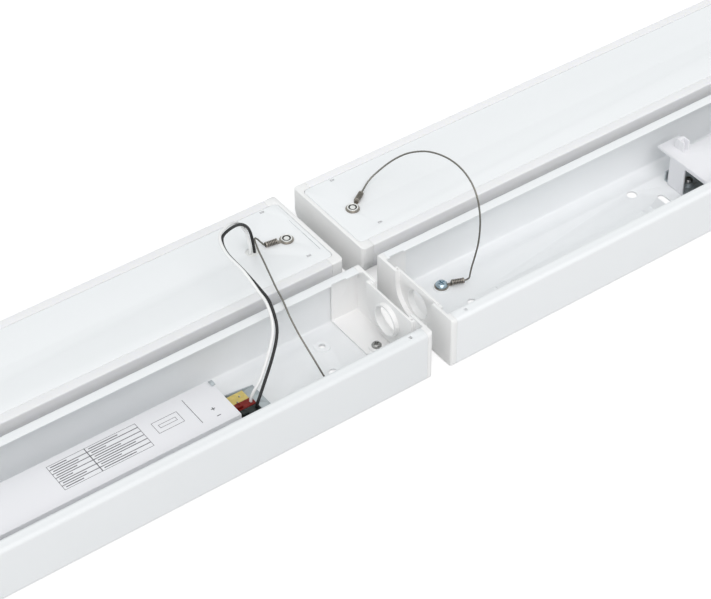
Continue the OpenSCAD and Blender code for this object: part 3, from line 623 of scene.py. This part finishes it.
# %% Finish a model, copy it and put it away
def soften(piece, width, segments=2):
    """Leaves edit mode, bevels the sharp edges of the mesh and shades it."""
    bpy.ops.object.mode_set(mode="OBJECT")
    alone(piece)
    bevel = piece.modifiers.new("edges", "BEVEL")
    bevel.width = width * MM
    bevel.segments = segments
    bevel.limit_method = "ANGLE"
    bevel.angle_limit = SMOOTH
    bpy.ops.object.modifier_apply(modifier="edges")
    bpy.ops.object.shade_smooth_by_angle(angle=SMOOTH)
    print(len(piece.data.polygons), "faces")


def place_copy(model, name, matrix, slot, body, *nodes):
    """A copy of a model at its place, with a mesh of its own, that rides on a body."""
    piece = bpy.data.objects.new(name, model.data.copy())
    bpy.context.scene.collection.objects.link(piece)
    piece.data.transform(matrix)
    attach(piece, body)
    if nodes:
        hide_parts(*nodes)
    return piece


def put_away(*models):
    """Deletes models once their copies are in place."""
    for model in models:
        bpy.data.objects.remove(model)


print("models are copied with their own mesh")


# %% Find a place on a batten
def spot_on(side, x, y, z):
    """A move to a place in millimetres. A negative X is counted from the right end."""
    end = LEFT_END[side] + (BATTEN_LENGTH if x < 0 else 0)
    return Matrix.Translation((end + x * MM, y * MM, z * MM))


for side in SIDES:
    left, right = (spot_on(side, x, 0, 0).translation.x for x in (0, -0.001))
    print(f"{side} batten from {left:.4f} to {right:.4f} m")

# %% [markdown]
# ## Ring lugs
#
# Each steel cord ends in a lug: a flat tinned ring with a barrel that is crimped round the
# cord. The crimping tool leaves a row of dents. The dents could be a bump in the material,
# but they are deep enough to show in outline. So the ring starts as a low cylinder whose
# two ends are inset and bridged into a hole, with a neck pulled out of its side. The
# barrel starts as a lying cylinder that is cut across every 0.55 mm, and every other band
# between two cuts is sunk.

# %% Model the ring
LUG_RING_RADIUS = 4.75
LUG_HOLE_RADIUS = 2.15
LUG_THICKNESS = 0.8
NECK_LENGTH = 2.6
ring_model = start_cylinder(48, LUG_RING_RADIUS, LUG_THICKNESS, (0, 0, LUG_THICKNESS / 2))
choose(lambda middle, normal: abs(normal.z) > 0.9)
inset(LUG_RING_RADIUS - LUG_HOLE_RADIUS)
bpy.ops.mesh.bridge_edge_loops()
choose(lambda middle, normal: middle.x > LUG_HOLE_RADIUS and normal.x > 0.95)
push(NECK_LENGTH, 0, 0)
soften(ring_model, 0.15)

# %% Model the barrel with its dents
BARREL_START = 7
BARREL_END = 15.3
BARREL_RADIUS = 1.9
FIRST_CUT = 7.9
CUT_STEP = 0.55
CUT_COUNT = 13
SUNK_TO = 0.78
barrel_model = start_cylinder(
    32, BARREL_RADIUS, BARREL_END - BARREL_START,
    ((BARREL_START + BARREL_END) / 2, 0, BARREL_RADIUS), rotation=(0, math.pi / 2, 0)
)
cuts = [FIRST_CUT + CUT_STEP * i for i in range(CUT_COUNT)]
cut_across(0, cuts)
bands = list(zip(cuts[0::2], cuts[1::2]))
found = choose(
    lambda middle, normal: abs(normal.x) < 0.5 and any(a < middle.x < b for a, b in bands)
)
push(0, 0, 0)
bpy.ops.transform.resize(
    value=(1, SUNK_TO, SUNK_TO), center_override=(0, 0, BARREL_RADIUS * MM)
)
print(len(bands), "bands,", found, "faces sunk")

# %% Taper it to the neck and hollow its mouth
NECK_DROP = -1.35
NECK_Z = 0.55
MOUTH_WALL = 0.45
choose(lambda middle, normal: normal.x < -0.9 and middle.x < BARREL_START + 0.1)
push(-0.9, 0, NECK_DROP)
bpy.ops.transform.resize(
    value=(1, 0.8, 0.28), center_override=(BARREL_START * MM, 0, NECK_Z * MM)
)
choose(lambda middle, normal: normal.x > 0.9 and middle.x > BARREL_END - 0.1)
inset(MOUTH_WALL)
push(-2, 0, 0)
soften(barrel_model, 0.06)


# %% Two finishes on one piece
def two_finishes(piece, main, other, test, matrix):
    """Gives the piece its main finish, and another where the face's middle passes."""
    paint(piece, main, other)
    back = matrix.inverted()
    for face in piece.data.polygons:
        face.material_index = int(test(back @ face.center / MM))


def shade_painted_in_dent(middle):
    """Whether a place on the barrel lies deeper than its outside, where shade is painted.
    """
    return (math.hypot(middle.y, middle.z - BARREL_RADIUS) < 1.6
            and BARREL_START < middle.x)


# The barrel's dents and mouth, and the rivet's gap, are painted near black as shade.
painted_shade_finish = make_finish("painted shade in dents and gap", (0.035, 0.03, 0.026), 0.4,
                           metallic=0.5, mottle=0.3, mottle_size=1.2)
print("dents:", painted_shade_finish.name)

# %% Put the lugs in their places
# X, Y and Z of the ring's middle, and the turn of the barrel in degrees.
MODULE_LUGS = ((19, 44.7, 32, 32.6), (-19, 44.7, 32, 172))
TRAY_LUGS = ((40.35, -24.75, 2.2, -21.8), (-40.35, -69.65, 2.2, 150))
for side in SIDES:
    for kind, lugs in (("module_lugs", MODULE_LUGS), ("tray_lugs", TRAY_LUGS)):
        node = f"{side}_{kind}"
        for i, (x, y, z, turn) in enumerate(lugs):
            matrix = spot_on(side, x, y, z) @ Matrix.Rotation(math.radians(turn), 4, "Z")
            ring = place_copy(ring_model, f"{side}.{kind}.ring.{i}", matrix, SLOT_OF[node],
                              BODY_OF[node], node)
            paint(ring, FINISH[SLOT_OF[node]])
            barrel = place_copy(barrel_model, f"{side}.{kind}.barrel.{i}", matrix,
                                SLOT_OF[node], BODY_OF[node], node)
            two_finishes(barrel, FINISH["lug_steel"], painted_shade_finish, shade_painted_in_dent, matrix)
            print(ring.name, [round(c, 3) for c in matrix.translation])
put_away(ring_model, barrel_model)

# %% [markdown]
# ## Rivets
#
# The rings of the modules sit under blind rivets: a rolled rim, a gap in shade, and the
# bright stub of the pin in the middle. A dish cut from a disc would miss the gap. So a
# disc's top is inset and sunk, inset again for the gap, and raised in the middle. The
# gap's faces are painted near black as shade.

# %% Model the rivet's head
RIVET_RADIUS = 3.8
RIVET_HEIGHT = 1.1
RIVET_RIM = 0.6
EYE_RADIUS = 2.9
STUB_RADIUS = 1.9
rivet_model = start_cylinder(
    48, RIVET_RADIUS, RIVET_HEIGHT, (0, 0, LUG_THICKNESS + RIVET_HEIGHT / 2)
)
choose(lambda middle, normal: normal.z > 0.9)
for thickness, height in (
    (RIVET_RIM, -0.15),
    (RIVET_RADIUS - RIVET_RIM - EYE_RADIUS, -0.7),
    (EYE_RADIUS - STUB_RADIUS, 0.55),
):
    inset(thickness)
    push(0, 0, height)
soften(rivet_model, 0.16, segments=3)


# %% Rivet the lugs to the modules
def shade_painted_in_gap(middle):
    """Whether a place on the rivet lies between its rim and its stub, where shade is
    painted.
    """
    from_axis = math.hypot(middle.x, middle.y)
    return STUB_RADIUS < from_axis < EYE_RADIUS + 0.02 and 0.8 < middle.z < 1.55


rivet_finish = make_finish("bright rivet", (0.80, 0.79, 0.77), 0.3, metallic=1,
                           mottle=0.1, mottle_size=1.5, grain=0.006, grain_size=0.3)
for side in SIDES:
    node = f"{side}_lug_rivets"
    for i, (x, y, z, turn) in enumerate(MODULE_LUGS):
        spot = spot_on(side, x, y, z)
        rivet = place_copy(rivet_model, f"{side}.rivet.{i}", spot, SLOT_OF[node],
                           BODY_OF[node], node)
        # The faces in the gap get the painted shade finish.
        two_finishes(rivet, rivet_finish, painted_shade_finish, shade_painted_in_gap, spot)
print(len(SIDES) * len(MODULE_LUGS), "rivets")
put_away(rivet_model)

# %% [markdown]
# ## Spring tips
#
# The catch springs show in small slots at the ends of each module's back: a bent steel
# tip stands in the slot, lit on its slope and dark behind it. It could stay a flat fill,
# but then the slot reads as a hole. So the tip is a thin block whose one half is raised in
# the middle, and whose other half is pushed down into a slope.

# %% Model the tip
TIP_LENGTH = 2.5
TIP_WIDTH = 1.6
TIP_BEND = 0.1
tip_model = start_plane(TIP_LENGTH, TIP_WIDTH)
cut_across(0, [TIP_BEND])
thicken(-0.6)
choose(lambda middle, normal: normal.z > 0.9 and middle.x > TIP_BEND)
lift(-0.35)
choose(lambda middle, normal: normal.z > 0.5 and middle.x < TIP_BEND)
inset(0.25)
lift(0.25)
soften(tip_model, 0.08)

# %% Put the tips in the slots
TIP_PLACES = ((25.7, 23.4), (25.7, 77.6), (-16.2, 23.4), (-16.2, 77.6))
TIP_Z = 31.95
tip_finish = make_finish("satin spring tip", (0.62, 0.62, 0.63), 0.5, metallic=0.3,
                         mottle=0.06, mottle_size=2)
for side in SIDES:
    for i, (x, y) in enumerate(TIP_PLACES):
        tip = place_copy(tip_model, f"{side}.spring_tip.{i}", spot_on(side, x, y, TIP_Z),
                         "spring_steel", f"{side}_module")
        paint(tip, tip_finish)
print(len(SIDES) * len(TIP_PLACES), "tips")
put_away(tip_model)

# %% [markdown]
# ## Lining in the slit
#
# A long slit crosses the back of each module near its right end, and the white lining of
# the end cap shows in it. The slit could be left open, but then it would be a black line.
# So a thin strip fills it: a plane cut to length, extruded down, with its ends let down a
# little.

# %% Model the lining and lay one in each module
SLIT_X, SLIT_Y = -6.4, 42.5
LINING_WIDTH = 0.44
LINING_LENGTH = 35.8
LINING_END = 17.2
LINING_Z = 31.45
lining_model = start_plane(LINING_WIDTH, LINING_LENGTH)
cut_across(1, [-LINING_END, LINING_END])
thicken(-1)
choose(lambda middle, normal: abs(middle.y) > LINING_END and normal.z > 0.9)
lift(-0.15)
soften(lining_model, 0.06)
for side in SIDES:
    spot = spot_on(side, SLIT_X, SLIT_Y, LINING_Z)
    lining = place_copy(lining_model, f"{side}.slit_lining", spot, "cap_plastic",
                        f"{side}_module")
    paint(lining, FINISH["cap_plastic"])
    print(lining.name, "at", [round(c, 3) for c in spot.translation])
put_away(lining_model)

# %% [markdown]
# ## Solder points
#
# The uncovered corner of the circuit board has a few solder points, small bright cones
# with a wire's end in them. A sphere would look like a bead. So each is a short cylinder
# whose top is drawn in to a cone, with the wire's end pulled out of it.

# %% Model a solder point
POINT_RADIUS = 0.75
POINT_FOOT = 0.3
WIRE_RISE = 0.35
point_model = start_cylinder(16, POINT_RADIUS, POINT_FOOT, (0, 0, POINT_FOOT / 2))
for rise, size in ((0.25, 0.7), (0.35, 0.5)):
    choose(lambda middle, normal: normal.z > 0.9 and middle.z > 0.1)
    push(0, 0, rise)
    bpy.ops.transform.resize(value=(size, size, 1), center_override=(0, 0, 0))
choose(lambda middle, normal: normal.z > 0.9 and middle.z > 0.7)
inset(0.06)
push(0, 0, WIRE_RISE)
bpy.ops.object.mode_set(mode="OBJECT")
alone(point_model)
bpy.ops.object.shade_smooth_by_angle(angle=math.radians(50))
print("solder point:", len(point_model.data.polygons), "faces")

# %% Solder the board
BOARD_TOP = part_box("left_driver_board")[1][2] / MM
POINT_SUNK = 0.05
TRAY_FRONT = -87.2
# X from the batten's left end and Y from the front of its tray.
SOLDER_PLACES = ((475.5, 41.5), (475.5, 45.3), (480.2, 43.2), (484.6, 41.3), (484.8, 46.4),
                 (479.6, 48.6), (489.3, 43.5), (488.6, 50.2))
solder = make_finish("solder", (0.62, 0.62, 0.60), 0.28, metallic=1, mottle=0.1,
                     mottle_size=1)
for side in SIDES:
    board = f"{side}_driver_board"
    for i, (x, y) in enumerate(SOLDER_PLACES):
        spot = spot_on(side, x, TRAY_FRONT + y, BOARD_TOP - POINT_SUNK)
        point = place_copy(point_model, f"{side}.solder_point.{i}", spot, SLOT_OF[board],
                           BODY_OF[board])
        paint(point, solder)
print(len(SIDES) * len(SOLDER_PLACES), "solder points")
put_away(point_model)

# %% [markdown]
# ## Printing on the driver's cover
#
# The cover carries a printed table in thin grey lines, with plain dashes in its cells. A
# printed line could be part of the cover's material, but then it needs a picture or a
# long chain of nodes. As a mesh a few hundredths of a millimetre thick it's simple: a
# plane is cut into cells, each cell is inset, and the middles are deleted.

# %% A helper that prints a table of thin lines
INK_THICKNESS = 0.03


def printed(columns, rows, line=0):
    """Lines round cells with borders at these places in millimetres, or a filled bar."""
    table = start_plane(
        columns[-1] - columns[0], rows[-1] - rows[0],
        ((columns[0] + columns[-1]) / 2, (rows[0] + rows[-1]) / 2)
    )
    cut_across(0, columns[1:-1])
    cut_across(1, rows[1:-1])
    if line:
        bpy.ops.mesh.select_all(action="SELECT")
        inset(line / 2, use_individual=True)
        bpy.ops.mesh.delete(type="FACE")
    thicken(INK_THICKNESS)
    bpy.ops.object.mode_set(mode="OBJECT")
    return table


print("the ink is", INK_THICKNESS, "mm thick")

# %% Print the table, a plain pictogram and a divider
LINE = 0.6
TABLE_COLUMNS = [355.8, 381.35, 416.5]
TABLE_ROWS = [30.6 + 22.4 / 6 * i for i in range(7)]
prints = [
    printed(TABLE_COLUMNS, TABLE_ROWS, LINE),
    printed([424, 442], [37, 47], LINE),
    printed([427, 439], [40.5, 43.5], LINE),
    printed([449.5, 449.9], [29.3, 52.9]),
]
print(len(prints), "printed frames")

# %% Dashes in the cells, and a plus and a minus beside the terminals
DASH_STARTS = (357.6, 383.4)
DASH_LENGTHS = ((12, 22), (16, 14), (9, 26), (14, 18), (17, 10), (11, 20))
DASH_HALF = 0.35
SIGN_X, PLUS_Y, MINUS_Y = 461, 35.7, 29.1
SIGN_ARM, SIGN_HALF = 1.4, 0.3
for row, lengths in enumerate(DASH_LENGTHS):
    middle = (TABLE_ROWS[row] + TABLE_ROWS[row + 1]) / 2
    for start, length in zip(DASH_STARTS, lengths):
        prints.append(
            printed([start, start + length], [middle - DASH_HALF, middle + DASH_HALF])
        )
for y in (PLUS_Y, MINUS_Y):
    prints.append(printed([SIGN_X - SIGN_ARM, SIGN_X + SIGN_ARM],
                          [y - SIGN_HALF, y + SIGN_HALF]))
prints.append(printed([SIGN_X - SIGN_HALF, SIGN_X + SIGN_HALF],
                      [PLUS_Y - SIGN_ARM, PLUS_Y + SIGN_ARM]))
print(len(prints), "printed shapes")

# %% Lay the printing on both covers
COVER_TOP = 25.6
INK_SUNK = 0.005
ink = make_finish("grey printing", (0.11, 0.11, 0.12), 0.6, mottle=0.15, mottle_size=2)
alone(prints[0])
for shape in prints:
    shape.select_set(True)
bpy.ops.object.join()
for side in SIDES:
    cover = f"{side}_driver_cover"
    spot = spot_on(side, 0, TRAY_FRONT, COVER_TOP - INK_SUNK)
    sheet = place_copy(prints[0], f"{side}.cover_print", spot, SLOT_OF[cover],
                       BODY_OF[cover])
    paint(sheet, ink)
    print(sheet.name, len(sheet.data.polygons), "faces")
put_away(prints[0])

# %% [markdown]
# ## Floor and light
#
# The picture has a pure white ground and very soft light from above, with some from the
# front. Area lamps would do for a small object, but they light the near end of a long one
# more than the far end. Two wide suns light all of it alike. A pale floor throws light up
# onto the sides, as a light table does.

# %% Floor
FLOOR_SIZE = 8
FLOOR_DROP = 0.5 * MM
FLOOR_GREY = 0.72
FLOOR_GLOW = 0.45
bpy.ops.object.select_all(action="DESELECT")
bpy.ops.mesh.primitive_plane_add(size=FLOOR_SIZE, location=(0, 0, -FLOOR_DROP))
floor = bpy.context.object
floor.name = "floor"
floor_finish = bpy.data.materials.new("white floor")
floor_finish.use_nodes = True
tree = floor_finish.node_tree
shader = tree.nodes["Principled BSDF"]
shader.inputs["Base Color"].default_value = (FLOOR_GREY, FLOOR_GREY, FLOOR_GREY, 1)
shader.inputs["Roughness"].default_value = 0.9
shader.inputs["Specular IOR Level"].default_value = 0
shader.inputs["Emission Color"].default_value = (1, 1, 1, 1)
ray = tree.nodes.new("ShaderNodeLightPath")
glow = tree.nodes.new("ShaderNodeMath")
glow.operation = "MULTIPLY"
glow.inputs[1].default_value = FLOOR_GLOW
tree.links.new(ray.outputs["Is Camera Ray"], glow.inputs[0])
tree.links.new(glow.outputs[0], shader.inputs["Emission Strength"])
paint(floor, floor_finish)
print("floor of", FLOOR_SIZE, "m")

# %% World
# The camera and reflections see plain white. The object gets less light than that.
AMBIENT = 0.64
SEEN = 1.0
SKY = (0.955, 0.995, 1, 1)
world = bpy.data.worlds.new("studio")
bpy.context.scene.world = world
world.use_nodes = True
tree = world.node_tree
background = tree.nodes["Background"]
ray = tree.nodes.new("ShaderNodeLightPath")
seen = tree.nodes.new("ShaderNodeMath")
seen.operation = "MAXIMUM"
tree.links.new(ray.outputs["Is Camera Ray"], seen.inputs[0])
tree.links.new(ray.outputs["Is Glossy Ray"], seen.inputs[1])
strength = tree.nodes.new("ShaderNodeMapRange")
strength.inputs["To Min"].default_value = AMBIENT
strength.inputs["To Max"].default_value = SEEN
tree.links.new(seen.outputs[0], strength.inputs["Value"])
tree.links.new(strength.outputs["Result"], background.inputs["Strength"])
background.inputs["Color"].default_value = SKY
print("the world lights with", AMBIENT, "and shows as", SEEN)


# %% Lamps
def add_sun(name, towards, strength, width, colour=(1, 1, 1)):
    """A sun that shines from the direction given, with a soft edge of some degrees."""
    lamp = bpy.data.objects.new(name, bpy.data.lights.new(name, "SUN"))
    bpy.context.scene.collection.objects.link(lamp)
    lamp.data.energy = strength
    lamp.data.angle = math.radians(width)
    lamp.data.color = colour
    lamp.rotation_mode = "QUATERNION"
    lamp.rotation_quaternion = Vector(towards).to_track_quat("Z", "Y")


add_sun("key", (-0.28, -0.55, 0.8), 1.35, 50, (1, 0.955, 0.96))
add_sun("fill", (-0.8, 0.05, 0.6), 0.15, 60)
bpy.context.scene.view_settings.view_transform = "Standard"
print("two suns")

# %% [markdown]
# ## The end

# %% The end
print("end of the script")
